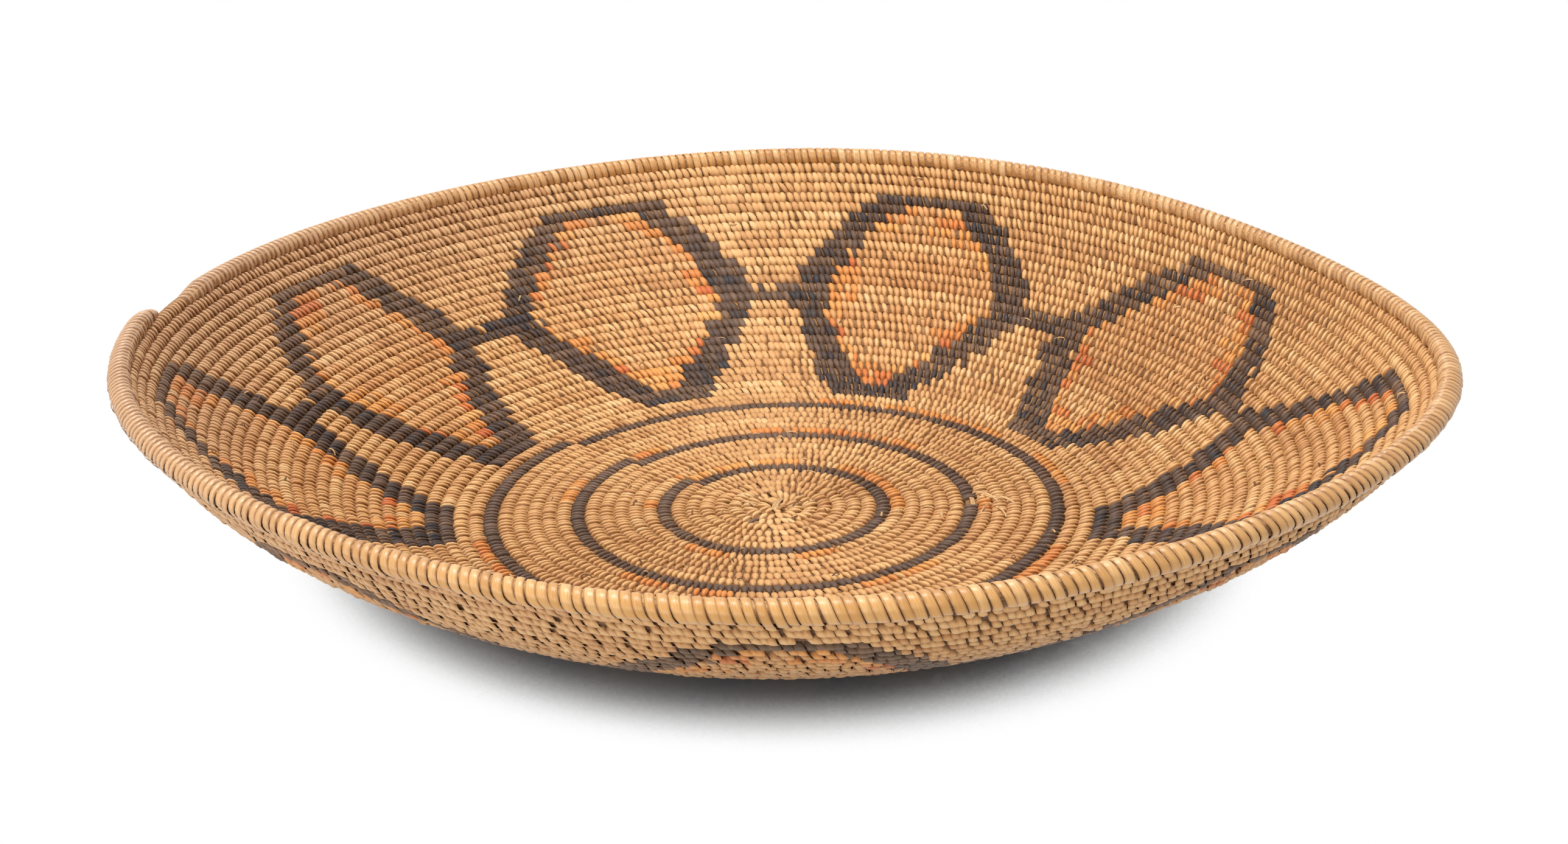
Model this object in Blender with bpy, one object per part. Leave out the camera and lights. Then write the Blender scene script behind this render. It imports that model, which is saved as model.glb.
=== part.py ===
"""A coiled basketry tray.

One long bundle of grass is wound in a spiral, clockwise seen from above, and each turn is
sewn to the turn below. The floor lies flat, and the wall rises and leans out to a thicker
rim coil. Rings and nine petals are stretches of the same coil sewn with dyed splints.

Each named object is one such stretch, lofted along the coil. A turn is a row of the loft,
with a valley line on both sides of it and a crest line along its middle.
"""

import math

import bmesh
import bpy

# Coil sizes, in metres
FLOOR_PITCH = 0.0050
FOOT_PITCH = 0.0051
TOP_PITCH = 0.0044
FLOOR_HALF_THICKNESS = 0.0026
WALL_HALF_THICKNESS = 0.0025
VALLEY_DEPTH = 0.0009
RIM_HEIGHT = 0.0062
RIM_HALF_THICKNESS = 0.0038
RIM_TOP_HALF_THICKNESS = 0.0017
RIM_CREST_SHARES = (0.32, 0.72)
SEAM_GAP = 0.0003

# Facets: the longest step along a ring, and the widest turn of a facet on the wall
RING_FACET = 0.0190
WALL_FACET_DEGREES = 14.6
FEWEST_RING_FACETS = 12
MOST_RING_FACETS = 33
SHARP_DEGREES = 50

# Turns of the coil, counted from the middle
FLOOR_TURNS = 20
PETAL_FIRST_TURN = 23
LINK_TURN = 35
PETAL_LAST_TURN = 46
RIM_TURN = 50

# The wall's lean from the floor, in degrees, and the swell of its lower half
RIM_LEAN = 56.0
BELLY_LEAN = 6.4
BELLY_FADE_SHARE = 0.4

# Where the rim coil ends, and how that end is rounded off
COIL_END_AZIMUTH = 168.6
TIP_LENGTH = 0.0220
TIP_NEAR_SHARE = 0.35
TIP_BLUNT_SHARE = 0.3

# Where each dyed ring of the floor starts: this far round a turn from the coil's end
RING_START_SHARE = 0.076

# Petals clockwise from the coil's end, in degrees:
# azimuth of the foot, of the waist and of the head, and half the width of the waist
PETALS = (
    (152.4, 150.4, 149.2, 16.4),
    (110.3, 110.8, 109.6, 18.4),
    (72.8, 71.6, 72.8, 16.8),
    (34.0, 32.0, 32.4, 18.0),
    (-8.8, -8.8, -8.4, 18.8),
    (-49.6, -49.6, -49.0, 17.8),
    (-90.3, -90.3, -90.0, 17.8),
    (-131.1, -131.1, -132.0, 17.8),
    (-170.3, -171.9, -175.6, 17.6),
)
PETAL_FOOT_HALF_WIDTH = 6.8
PETAL_HEAD_HALF_WIDTH = 5.6
PETAL_SIDE_BULGE = 1.1

# Handwork: waves round the wall that grow towards the rim.
# Each has its order, its size at the rim in metres and the azimuth of its crest.
RIM_LIFTS = ((1, 0.0040, -66.0), (2, 0.0020, -26.0), (3, 0.0025, -41.0), (4, 0.0009, -30.0))
RIM_SPREADS = ((1, 0.0035, 28.0), (2, 0.0047, -78.0), (3, 0.0029, -35.0), (4, 0.0007, 4.0))
WAVE_GROWTH_POWER = 1.5

# Waves round the floor's rings, at its edge. They grow from the middle and fade up the wall.
FLOOR_SPREADS = ((1, 0.0018, 50.0), (2, 0.0034, 50.0))
FLOOR_WAVE_END_TURN = 29

# Where the start of the coil lies from the middle of the tray's outline
START_X = -0.00163
START_Y = -0.00383

# Hub of the start knot's dome
KNOT_HUB_RADIUS = 0.0010
KNOT_RISE = 0.0003

# Each stretch and its last turn, from the middle out, with its splints' colour
STRETCHES = (
    ("start_knot", 1, "natural"),
    ("centre_coils", 7, "natural"),
    ("inner_dark_ring", 8, "dark"),
    ("inner_orange_ring", 9, "orange"),
    ("second_coils", 13, "natural"),
    ("middle_dark_ring", 14, "dark"),
    ("middle_orange_ring", 15, "orange"),
    ("third_coils", 19, "natural"),
    ("outer_dark_ring", 20, "dark"),
    ("outer_orange_ring", 21, "orange"),
    ("lower_wall_coils", 34, "natural"),
    ("upper_wall_coils", 49, "natural"),
    ("rim_coil", 50, "rim"),
)
PETAL_COLOUR = "petal"

# Screen colour, roughness of each material
MATERIALS = {
    "natural": ((204, 152, 98), 0.62),
    "dark": ((68, 58, 56), 0.58),
    "orange": ((220, 132, 56), 0.60),
    "petal": ((118, 76, 52), 0.60),
    "rim": ((214, 172, 112), 0.42),
}

# A hair's breadth, in places
HAIR = 1e-6

LAST_EDGE = 2 * len(PETALS) + 1
WALL_TURNS = RIM_TURN - FLOOR_TURNS
STEPS_PER_TURN = 16


def lean_at(turns):
    """Angle of the wall from the floor, in radians, at a place counted in turns."""
    share = min(max((turns - FLOOR_TURNS) / WALL_TURNS, 0.0), 1.0)
    swell = BELLY_LEAN * math.sin(2 * math.pi * share) * (1 - BELLY_FADE_SHARE * share)
    return math.radians(RIM_LEAN * share + swell)


def pitch_at(turns):
    if turns <= FLOOR_TURNS:
        return FLOOR_PITCH
    share = min((turns - FLOOR_TURNS) / WALL_TURNS, 1.0)
    return FOOT_PITCH + (TOP_PITCH - FOOT_PITCH) * share


def wall_profile():
    """Radius and height of the coil's middle, every sixteenth of a turn from the foot."""
    radius = FLOOR_PITCH * (FLOOR_TURNS - 0.5)
    height = FLOOR_HALF_THICKNESS
    points = [(radius, height)]
    for step in range((WALL_TURNS + 2) * STEPS_PER_TURN):
        middle = FLOOR_TURNS + (step + 0.5) / STEPS_PER_TURN
        run = pitch_at(middle) / STEPS_PER_TURN
        radius += run * math.cos(lean_at(middle))
        height += run * math.sin(lean_at(middle))
        points.append((radius, height))
    return points


PROFILE = wall_profile()


def profile_at(turns):
    """Radius and height of the coil's middle at a place counted in turns."""
    if turns <= FLOOR_TURNS:
        return FLOOR_PITCH * (turns - 0.5), FLOOR_HALF_THICKNESS
    place = (turns - FLOOR_TURNS) * STEPS_PER_TURN
    index = min(int(place), len(PROFILE) - 2)
    share = place - index
    (r0, z0), (r1, z1) = PROFILE[index : index + 2]
    return r0 + (r1 - r0) * share, z0 + (z1 - z0) * share


def wave(waves, turns, azimuth):
    """Sum of the handwork's waves, which start at the floor's edge and grow to the rim."""
    share = min(max((turns - FLOOR_TURNS) / WALL_TURNS, 0.0), 1.0)
    total = 0.0
    for order, size, crest in waves:
        total += size * math.cos(order * math.radians(azimuth - crest))
    return total * share**WAVE_GROWTH_POWER


def floor_wave(turns, azimuth):
    """How far the floor's rings swell out, from nothing at the middle to the floor's edge."""
    if turns <= FLOOR_TURNS:
        share = max(turns - 1, 0.0) / (FLOOR_TURNS - 1)
    else:
        share = max(FLOOR_WAVE_END_TURN - turns, 0.0) / (FLOOR_WAVE_END_TURN - FLOOR_TURNS)
    total = 0.0
    for order, size, crest in FLOOR_SPREADS:
        total += size * math.cos(order * math.radians(azimuth - crest))
    return total * share


def petal_sides(petal, turns):
    """Azimuths of a petal's two sides, at a place counted in turns."""
    foot, waist, head, waist_half = petal
    if turns < LINK_TURN:
        share = (turns - PETAL_FIRST_TURN + 0.5) / (LINK_TURN - PETAL_FIRST_TURN + 0.5)
        share = 1 - min(max(share, 0.0), 1.0)
        end, end_half = foot, PETAL_FOOT_HALF_WIDTH
    else:
        share = (turns - LINK_TURN) / (PETAL_LAST_TURN + 0.5 - LINK_TURN)
        share = min(share, 1.0)
        end, end_half = head, PETAL_HEAD_HALF_WIDTH
    middle = waist + (end - waist) * share
    half = waist_half + (end_half - waist_half) * share + PETAL_SIDE_BULGE * 4 * share * (1 - share)
    return middle + half, middle - half


def edge_azimuth(edge, turns):
    """Azimuth of an edge between stretches. Odd edges are a petal's near side."""
    if edge == 0:
        return COIL_END_AZIMUTH
    if edge == LAST_EDGE:
        return COIL_END_AZIMUTH - 360
    near, far = petal_sides(PETALS[(edge - 1) // 2], turns)
    return near if edge % 2 else far


def turn_share(place, first_turns):
    """How far round its turn a place lies, on a line that starts at first_turns."""
    edge = min(int(place), LAST_EDGE - 1)
    rest = place - edge
    share = 0.5
    for _ in range(6):
        turns = first_turns + share
        near, far = edge_azimuth(edge, turns), edge_azimuth(edge + 1, turns)
        share = (COIL_END_AZIMUTH - near - (far - near) * rest) / 360
    return share


def name_at(turn, place):
    """The object that a turn belongs to at a place: even stretches lie between petals."""
    if turn > RIM_TURN:
        return None
    stretch = min(int(place), LAST_EDGE - 1)
    if PETAL_FIRST_TURN <= turn <= PETAL_LAST_TURN:
        if stretch % 2:
            return f"petal_{stretch // 2 + 1}"
        link = LINK_TURN + 1 if stretch == 0 else LINK_TURN
        if turn == link:
            after = stretch == 0 or (place - stretch > 0.5 and stretch < LAST_EDGE - 1)
            return f"petal_{stretch // 2 + (1 if after else 0)}"
        return "lower_wall_coils" if turn < link else "upper_wall_coils"
    if 2 < turn <= FLOOR_TURNS + 1 and place < LAST_EDGE * RING_START_SHARE:
        turn -= 1
    return next(name for name, last, _ in STRETCHES if turn <= last)


def petal_line(first_turns, has_links):
    """Places and turn shares of the points on a line that crosses the petals."""
    points = []
    for edge in range(LAST_EDGE):
        middle = first_turns + turn_share(edge + 0.5, first_turns)
        angle = edge_azimuth(edge, middle) - edge_azimuth(edge + 1, middle)
        steps = max(1, math.ceil(angle / WALL_FACET_DEGREES))
        if has_links and edge % 2 == 0 and 0 < edge < LAST_EDGE - 1:
            steps = 2
        points += [edge + step / steps for step in range(steps)]
    points.append(float(LAST_EDGE))
    return [(place, turn_share(place, first_turns)) for place in points]


def ring_line(first_turns):
    """Places and turn shares of the points on a line that crosses no petal."""
    radius, _ = profile_at(first_turns + 0.5)
    steps = round(2 * math.pi * radius / RING_FACET)
    steps = min(max(steps, FEWEST_RING_FACETS), MOST_RING_FACETS)
    shares = [step / steps for step in range(steps + 1)]
    if first_turns < FLOOR_TURNS + 2:
        nearest = min(range(1, steps), key=lambda step: abs(shares[step] - RING_START_SHARE))
        shares[nearest] = RING_START_SHARE
    return [(LAST_EDGE * share, share) for share in shares]


def rim_line(first_turns):
    """A ring line with closer points at the rim's rounded end."""
    radius, _ = profile_at(RIM_TURN)
    tip_share = TIP_LENGTH / (2 * math.pi * radius)
    points = ring_line(first_turns)[:-1]
    for share in (1 - tip_share, 1 - tip_share * TIP_NEAR_SHARE, 1.0):
        points.append((LAST_EDGE * share, share))
    return points


def tip_factor(share):
    """How much of the rim's section is left, near its rounded end."""
    radius, _ = profile_at(RIM_TURN)
    tip_share = TIP_LENGTH / (2 * math.pi * radius)
    depth = max(0.0, (share - 1 + tip_share) / tip_share)
    return 1 - (1 - TIP_BLUNT_SHARE) * depth**2


class Line:
    """A valley or crest line along one turn: its points and the coil's half thickness."""

    def __init__(self, key, first_turns, points, half_in, half_out, beyond=0.0):
        self.key = key
        self.first_turns = first_turns
        self.points = points
        self.halves = (half_in, half_out)
        self.beyond = beyond

    def place_of(self, index, inner, shift_round, shift_up):
        """A point in space, on the inner or outer face, moved off its neighbours."""
        _, share = self.points[index]
        turns = self.first_turns + share
        factor = tip_factor(share) if self.beyond else 1.0
        radius, height = profile_at(turns)
        lean = lean_at(turns)
        along = self.beyond * factor + shift_up * SEAM_GAP / 2
        half = self.halves[0] * factor if inner else -self.halves[1] * factor
        radius += along * math.cos(lean) - half * math.sin(lean)
        height += along * math.sin(lean) + half * math.cos(lean)
        if not inner and turns < FLOOR_TURNS + 2 and self.key[0] == "valley":
            height = 0.0
        azimuth = COIL_END_AZIMUTH - 360 * share
        radius += wave(RIM_SPREADS, turns, azimuth) + floor_wave(turns, azimuth)
        height += wave(RIM_LIFTS, turns, azimuth)
        angle = math.radians(azimuth) - shift_round * SEAM_GAP / 2 / radius
        return (
            START_X + radius * math.cos(angle),
            START_Y + radius * math.sin(angle),
            max(height, 0.0),
        )


def valley_line(number):
    """The line between a turn and the next, numbered as the inner of the two."""
    on_floor = number < FLOOR_TURNS + 1
    half = (FLOOR_HALF_THICKNESS if on_floor else WALL_HALF_THICKNESS) - VALLEY_DEPTH
    if number == RIM_TURN:
        half = RIM_TOP_HALF_THICKNESS
        return Line(("valley", number), number - 1, rim_line(number - 1), half, half, RIM_HEIGHT)
    if PETAL_FIRST_TURN - 1 <= number <= PETAL_LAST_TURN:
        has_links = number in (LINK_TURN - 1, LINK_TURN)
        points = petal_line(number, has_links)
    else:
        points = ring_line(number)
    return Line(("valley", number), number, points, half, half)


def crest_lines(turn):
    """The line, or for the rim the two lines, along the middle of a turn."""
    first_turns = turn - 0.5
    if turn == RIM_TURN:
        half = RIM_HALF_THICKNESS
        points = rim_line(turn - 1)
        return [
            Line(("crest", turn, number), turn - 1, points, half, half, RIM_HEIGHT * height)
            for number, height in enumerate(RIM_CREST_SHARES)
        ]
    half = FLOOR_HALF_THICKNESS if turn <= FLOOR_TURNS + 1 else WALL_HALF_THICKNESS
    if PETAL_FIRST_TURN <= turn <= PETAL_LAST_TURN:
        points = petal_line(first_turns, turn == LINK_TURN)
    else:
        points = ring_line(first_turns)
    return [Line(("crest", turn, 0), first_turns, points, half, half)]


VALLEYS = [valley_line(number) for number in range(RIM_TURN + 1)]
CRESTS = [[]] + [crest_lines(turn) for turn in range(1, RIM_TURN + 1)]


def corners_round(line, index):
    """Names of the objects round a point, keyed by side: -1 or 1 round, -1 or 1 up."""
    place, _ = line.points[index]
    at_start, at_end = index == 0, index == len(line.points) - 1
    before = LAST_EDGE - HAIR if at_start else place - HAIR
    after = HAIR if at_end else place + HAIR
    if line.key[0] == "crest":
        turn = line.key[1]
        return {
            (-1, 0): name_at(turn - 1 if at_start else turn, before),
            (1, 0): name_at(turn + 1 if at_end else turn, after),
        }
    low = line.key[1]
    low_before = low - 1 if at_start else low
    low_after = low + 1 if at_end else low
    return {
        (-1, -1): name_at(low_before, before),
        (-1, 1): name_at(low_before + 1, before),
        (1, -1): name_at(low_after, after),
        (1, 1): name_at(low_after + 1, after),
    }


def group_of(corners, corner, name):
    """The corners of this object that join the given one side by side."""
    group = {corner}
    for other in ((-corner[0], corner[1]), (corner[0], -corner[1])):
        if corners.get(other) == name:
            group.add(other)
    opposite = (-corner[0], -corner[1])
    if len(group) > 1 and corners.get(opposite) == name:
        group.add(opposite)
    return frozenset(group)


def sign(number):
    return (number > 0) - (number < 0)


class Stretch:
    """Collects the faces of one object."""

    def __init__(self, name):
        self.name = name
        self.mesh = bmesh.new()
        self.points = {}

    def point(self, line, index, inner, corner):
        corners = corners_round(line, index)
        group = group_of(corners, corner, self.name)
        key = line.key
        at_start, at_end = index == 0, index == len(line.points) - 1
        if at_start or at_end:
            step = 1 if at_end else 0
            spot = ("end", key[0], key[1] + step, key[2:])
        else:
            spot = (key, index)
        full_key = (spot, inner, group)
        if full_key not in self.points:
            shift_round = sign(sum(side[0] for side in group))
            shift_up = sign(sum(side[1] for side in group))
            place = line.place_of(index, inner, shift_round, shift_up)
            self.points[full_key] = self.mesh.verts.new(place)
        return self.points[full_key]

    def face(self, *corners):
        different = list(dict.fromkeys(corners))
        if len(different) > 2:
            self.mesh.faces.new(different)

    def strip(self, near, far):
        """Triangles between two lists of (share, point), stepping the one that lags."""
        i = j = 0
        while i < len(near) - 1 or j < len(far) - 1:
            near_next = near[i + 1][0] if i < len(near) - 1 else math.inf
            far_next = far[j + 1][0] if j < len(far) - 1 else math.inf
            if near_next <= far_next:
                self.face(near[i][1], near[i + 1][1], far[j][1])
                i += 1
            else:
                self.face(near[i][1], far[j + 1][1], far[j][1])
                j += 1

    def run(self, turn, first, last):
        """One turn's stretch of this object between two places."""
        lines = [VALLEYS[turn - 1], *CRESTS[turn], VALLEYS[turn]]
        chains = {True: [], False: []}
        for line in lines:
            up = {VALLEYS[turn - 1].key: 1, VALLEYS[turn].key: -1}.get(line.key, 0)
            chosen = [
                index
                for index, (place, _) in enumerate(line.points)
                if first - HAIR < place < last + HAIR
            ]
            for inner in (True, False):
                chain = []
                for index in chosen:
                    side = -1 if index == chosen[-1] else 1
                    point = self.point(line, index, inner, (side, up))
                    chain.append((line.points[index][1], point))
                chains[inner].append((line, chosen, chain))
        if turn <= FLOOR_TURNS + 1:
            chains[False] = [chains[False][0], chains[False][-1]]
        for inner in (True, False):
            for low, high in zip(chains[inner], chains[inner][1:]):
                self.strip(low[2], high[2])
        self.side_wall(chains[True][0], chains[False][0], turn - 1)
        self.side_wall(chains[True][-1], chains[False][-1], turn + 1)
        at_start = first < HAIR
        before = name_at(turn - 1 if at_start else turn, (LAST_EDGE if at_start else first) - HAIR)
        if before != self.name:
            self.end_wall(chains, 0)
        at_end = last > LAST_EDGE - HAIR
        after = name_at(turn + 1 if at_end else turn, (0 if at_end else last) + HAIR)
        if after != self.name:
            self.end_wall(chains, -1)

    def side_wall(self, inner, outer, neighbour):
        """Closes the side along a valley wherever the neighbouring turn is another object."""
        line, chosen, inner_chain = inner
        outer_chain = outer[2]
        for step in range(len(chosen) - 1):
            middle = (line.points[chosen[step]][0] + line.points[chosen[step + 1]][0]) / 2
            if name_at(neighbour, middle) != self.name:
                a, b = inner_chain[step][1], inner_chain[step + 1][1]
                c, d = outer_chain[step + 1][1], outer_chain[step][1]
                self.face(a, b, c)
                self.face(a, c, d)

    def end_wall(self, chains, end):
        """Closes the section at one end of a run."""
        count_in, count_out = len(chains[True]), len(chains[False])
        inner = [(i / (count_in - 1), chain[end][1]) for i, (_, _, chain) in enumerate(chains[True])]
        outer = [(i / (count_out - 1), chain[end][1]) for i, (_, _, chain) in enumerate(chains[False])]
        self.strip(inner, outer)

    def knot(self):
        """The first turn: a low dome whose outline is the start of the spiral."""
        line = VALLEYS[1]
        hub_angle = math.radians(COIL_END_AZIMUTH + 90)
        for inner in (True, False):
            ring = []
            for index in range(len(line.points)):
                side = -1 if index == len(line.points) - 1 else 1
                ring.append(self.point(line, index, inner, (side, -1)))
            height = 2 * FLOOR_HALF_THICKNESS + KNOT_RISE if inner else 0.0
            hub = self.mesh.verts.new(
                (
                    START_X + KNOT_HUB_RADIUS * math.cos(hub_angle),
                    START_Y + KNOT_HUB_RADIUS * math.sin(hub_angle),
                    height,
                )
            )
            for a, b in zip(ring, ring[1:] + ring[:1]):
                self.face(hub, a, b)
            if inner:
                inner_ring = ring
        for a, b, c, d in zip(inner_ring, inner_ring[1:] + inner_ring[:1], ring[1:] + ring[:1], ring):
            self.face(a, b, c)
            self.face(a, c, d)


def runs_of(name, turn):
    """The stretches of one turn that belong to an object, as pairs of places."""
    if turn <= FLOOR_TURNS + 1:
        stops = [0.0, LAST_EDGE * RING_START_SHARE, float(LAST_EDGE)]
        stretches = range(0)
    else:
        stops = [0.0]
        stretches = range(LAST_EDGE)
    for stretch in stretches:
        if 0 < stretch < LAST_EDGE - 1 and stretch % 2 == 0:
            stops.append(stretch + 0.5)
        stops.append(stretch + 1.0)
    runs = []
    for start, end in zip(stops, stops[1:]):
        if name_at(turn, (start + end) / 2) != name:
            continue
        if runs and runs[-1][1] == start:
            runs[-1][1] = end
        else:
            runs.append([start, end])
    return runs


def linear(channel):
    """Screen colour, 0 to 255, as the linear value that a shader takes."""
    share = channel / 255
    return share / 12.92 if share <= 0.04045 else ((share + 0.055) / 1.055) ** 2.4


def make_material(name):
    colour, roughness = MATERIALS[name]
    material = bpy.data.materials.new(name + "_splints")
    material.use_nodes = True
    shader = material.node_tree.nodes["Principled BSDF"]
    shader.inputs["Base Color"].default_value = (*(linear(channel) for channel in colour), 1)
    shader.inputs["Roughness"].default_value = roughness
    shader.inputs["Metallic"].default_value = 0.0
    material.diffuse_color = shader.inputs["Base Color"].default_value
    return material


def make_object(name, material, collection):
    """Lofts every run of an object and links the result."""
    stretch = Stretch(name)
    if name == STRETCHES[0][0]:
        stretch.knot()
    else:
        for turn in range(2, RIM_TURN + 1):
            for first, last in runs_of(name, turn):
                stretch.run(turn, first, last)
    bmesh.ops.recalc_face_normals(stretch.mesh, faces=stretch.mesh.faces)
    mesh = bpy.data.meshes.new(name)
    stretch.mesh.to_mesh(mesh)
    stretch.mesh.free()
    mesh.shade_smooth()
    mesh.set_sharp_from_angle(angle=math.radians(SHARP_DEGREES))
    mesh.materials.append(material)
    made = bpy.data.objects.new(name, mesh)
    collection.objects.link(made)
    return made


def main():
    for old in list(bpy.data.objects):
        bpy.data.objects.remove(old)
    collection = bpy.data.collections.new("basketry_tray")
    bpy.context.scene.collection.children.link(collection)
    materials = {name: make_material(name) for name in MATERIALS}
    for name, _, colour in STRETCHES:
        make_object(name, materials[colour], collection)
    for number in range(1, len(PETALS) + 1):
        make_object(f"petal_{number}", materials[PETAL_COLOUR], collection)


main()
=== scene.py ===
"""The looks of a coiled basketry tray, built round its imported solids.

Every stitch is a splint that loops round the coil and into the turn below it. The stitches
follow the same spiral as the solids, over a bundle of grass that shows in their gaps.
Places along the coil are counted in turns from its start, clockwise, as arrays with one
entry for each stitch.
"""

import math

import bpy
import numpy as np
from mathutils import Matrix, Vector


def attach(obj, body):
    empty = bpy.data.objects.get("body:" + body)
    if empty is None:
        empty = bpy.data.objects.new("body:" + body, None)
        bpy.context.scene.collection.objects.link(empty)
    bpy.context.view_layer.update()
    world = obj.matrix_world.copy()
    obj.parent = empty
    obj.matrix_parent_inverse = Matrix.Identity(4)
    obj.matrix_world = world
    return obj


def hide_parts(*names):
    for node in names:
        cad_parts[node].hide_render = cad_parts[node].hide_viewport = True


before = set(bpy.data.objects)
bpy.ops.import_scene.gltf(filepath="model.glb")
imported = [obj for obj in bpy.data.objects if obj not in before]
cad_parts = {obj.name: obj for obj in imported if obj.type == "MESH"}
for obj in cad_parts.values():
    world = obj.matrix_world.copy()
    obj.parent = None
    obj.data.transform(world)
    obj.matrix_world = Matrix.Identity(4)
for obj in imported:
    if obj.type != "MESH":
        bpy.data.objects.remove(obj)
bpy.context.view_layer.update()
seeded = np.random.default_rng(7)

# Coil sizes, the same as the solids', in metres
FLOOR_PITCH = 0.0050
FOOT_PITCH = 0.0051
TOP_PITCH = 0.0044
FLOOR_HALF_THICKNESS = 0.0026
WALL_HALF_THICKNESS = 0.0025
RIM_HEIGHT = 0.0062
RIM_HALF_THICKNESS = 0.0038
FLOOR_TURNS = 20
PETAL_FIRST_TURN = 23
LINK_TURN = 35
PETAL_LAST_TURN = 46
RIM_TURN = 50
WALL_TURNS = RIM_TURN - FLOOR_TURNS
RIM_LEAN = 56.0
BELLY_LEAN = 6.4
BELLY_FADE_SHARE = 0.4
COIL_END_AZIMUTH = 168.6
RING_START_SHARE = 0.076
START_X = -0.00163
START_Y = -0.00383

# Handwork, the same as the solids': waves as order, size in metres and azimuth of the crest
RIM_LIFTS = ((1, 0.0040, -66.0), (2, 0.0020, -26.0), (3, 0.0025, -41.0), (4, 0.0009, -30.0))
RIM_SPREADS = ((1, 0.0035, 28.0), (2, 0.0047, -78.0), (3, 0.0029, -35.0), (4, 0.0007, 4.0))
WAVE_GROWTH_POWER = 1.5
FLOOR_SPREADS = ((1, 0.0018, 50.0), (2, 0.0034, 50.0))
FLOOR_WAVE_END_TURN = 29

# Petals, the same as the solids', clockwise from the coil's end, in degrees:
# azimuth of the foot, of the waist and of the head, and half the width of the waist
PETALS = (
    (152.4, 150.4, 149.2, 16.4),
    (110.3, 110.8, 109.6, 18.4),
    (72.8, 71.6, 72.8, 16.8),
    (34.0, 32.0, 32.4, 18.0),
    (-8.8, -8.8, -8.4, 18.8),
    (-49.6, -49.6, -49.0, 17.8),
    (-90.3, -90.3, -90.0, 17.8),
    (-131.1, -131.1, -132.0, 17.8),
    (-170.3, -171.9, -175.6, 17.6),
)
PETAL_FOOT_HALF_WIDTH = 6.8
PETAL_HEAD_HALF_WIDTH = 5.6
PETAL_SIDE_BULGE = 1.1

# The petals' dark outline: its width in metres, its rows at a petal's foot and head, and how
# far its edges wander, in stitches
OUTLINE_WIDTH = 0.0144
OUTLINE_FOOT_ROWS = 2
OUTLINE_HEAD_ROWS = 1
RAGGED_STITCHES = 0.45
# The orange lining inside it, in stitches: its least width, what chance adds, and what each
# end of a petal adds in its outer rows
LINING_LEAST_STITCHES = 0.4
LINING_STITCHES = 6.0
LINING_TIP_STITCHES = 2.0
LINING_TIP_ROWS = 3
LINING_CHANCE = 0.9
# Its width drifts with the row, the petal and the petal's side, by so many radians for each
LINING_DRIFTS = (0.62, 2.1, 2.0)
LINING_DRIFT_SHARE = 0.5
LINING_OWN_TONE_SHARE = 0.12
# The petals' hearts are stained, some rows more than others
HEART_STAIN_SHARES = (0.04, 0.30)
# The dark links between petals: where they step up a turn, and how much of their second row
LINK_STEP_SHARE = 0.02
LINK_SECOND_ROW_CHANCE = 0.85

# The dyed rings: turn of each dark ring, and the least and most of its tones
RINGS = (8, 14, 20)
RING_TONE_SHARES = (0.45, 0.95)
# Where the row outside each ring is orange: from and to, clockwise, in degrees
ORANGE_ARCS = {
    9: ((250, 236), (181, 172), (143, 78), (60, -2), (-60, -84), (-120, -132)),
    15: ((243, 228), (177, 160), (138, 126), (98, 46), (6, -2), (-40, -66), (-100, -112)),
    21: ((224, 197), (82, 38), (27, 12), (-20, -40), (-80, -94), (-118, -140)),
}
ORANGE_ARC_CHANCE = 0.92
ORANGE_ARC_TONE_SHARES = (0.20, 0.80)
# A faded stretch of the second ring: its turn, and from and to, clockwise, in degrees
FADED_ARC = (14, 160, 92)
FADED_TONE_SHARES = (0.60, 0.85)

# Last turn of the middle piece of the wall's natural stitches
MIDDLE_LAST_TURN = 42

# Stitches: where the first is, and their spacing along the coil, which is wider on one side
FIRST_STITCH_TURNED = 0.12
FLOOR_SPACING = 0.0025
WALL_SPACING = 0.0027
SPACING_SWING = 0.0002
RIM_SPACING = 0.0032
RIM_SPACING_SWING = 0.0003
WIDEST_AZIMUTH = -30.0
# Steps from stitch to stitch, in spacings: their spread and limits, the share of that spread
# that the rim has, and how many stitches fewer there are than the coil has room for
STEP_SPREAD = 0.15
STEP_LIMITS = (0.6, 1.4)
RIM_STEP_SHARE = 0.3
SPARE_STITCHES = 3
# Stitches sewn with one splint, and how much of their tone they share
SPLINT_RUN = 13
SPLINT_TONE_SHARE = 0.55

# The work is tight here and at the opposite side, loose between, and looser on the near half
TIGHT_AZIMUTH = 95.0
NEAR_LOOSENESS = 0.05
# From tight to loose: how much of its spacing a stitch covers, how far its edges drop, as a
# share of the drops below, which also sets the painted shade at its edges, and how dark the
# painted shade makes its ends, in the valleys between turns
COVERS = (1.02, 0.80)
COVER_SPREAD = 0.07
RELIEFS = (0.38, 1.50)
VALLEY_SHADES = (1.0, 0.68)
# Spreads of a stitch's slant, of its reach towards the turn below and of its height
SLANT_SPREAD = 0.28
REACH_SPREAD = 0.06
LIFT_SPREAD = 0.00014
# The first turns are sewn with splints that cross at odd angles
CROSSING_TURNS = 7
CROSSING_SLANT_SPREAD = 1.6
CROSSING_LIFT_SPREAD = 0.00016

# The rim's splints: the range of their covers and the share of it at the tray's left and
# right, the drop of their edges from the front to the left and right, and their spreads
RIM_COVERS = (0.84, 1.04)
RIM_SIDE_COVER_SHARE = 0.84
RIM_RELIEFS = (0.8, 3.2)
RIM_TONE_SHARES = (0.12, 0.88)
RIM_SLANT_SPREAD = 0.07
RIM_REACH_SPREAD = 0.12
# Left and right, how open they are, and how pale a painted sheen of reflection makes them: a
# middle value, and what the left has more and the right has less
RIM_OPEN_SHARES = (0.88, 0.12)
RIM_SHEEN_SHARES = (0.6, 0.4)

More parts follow.
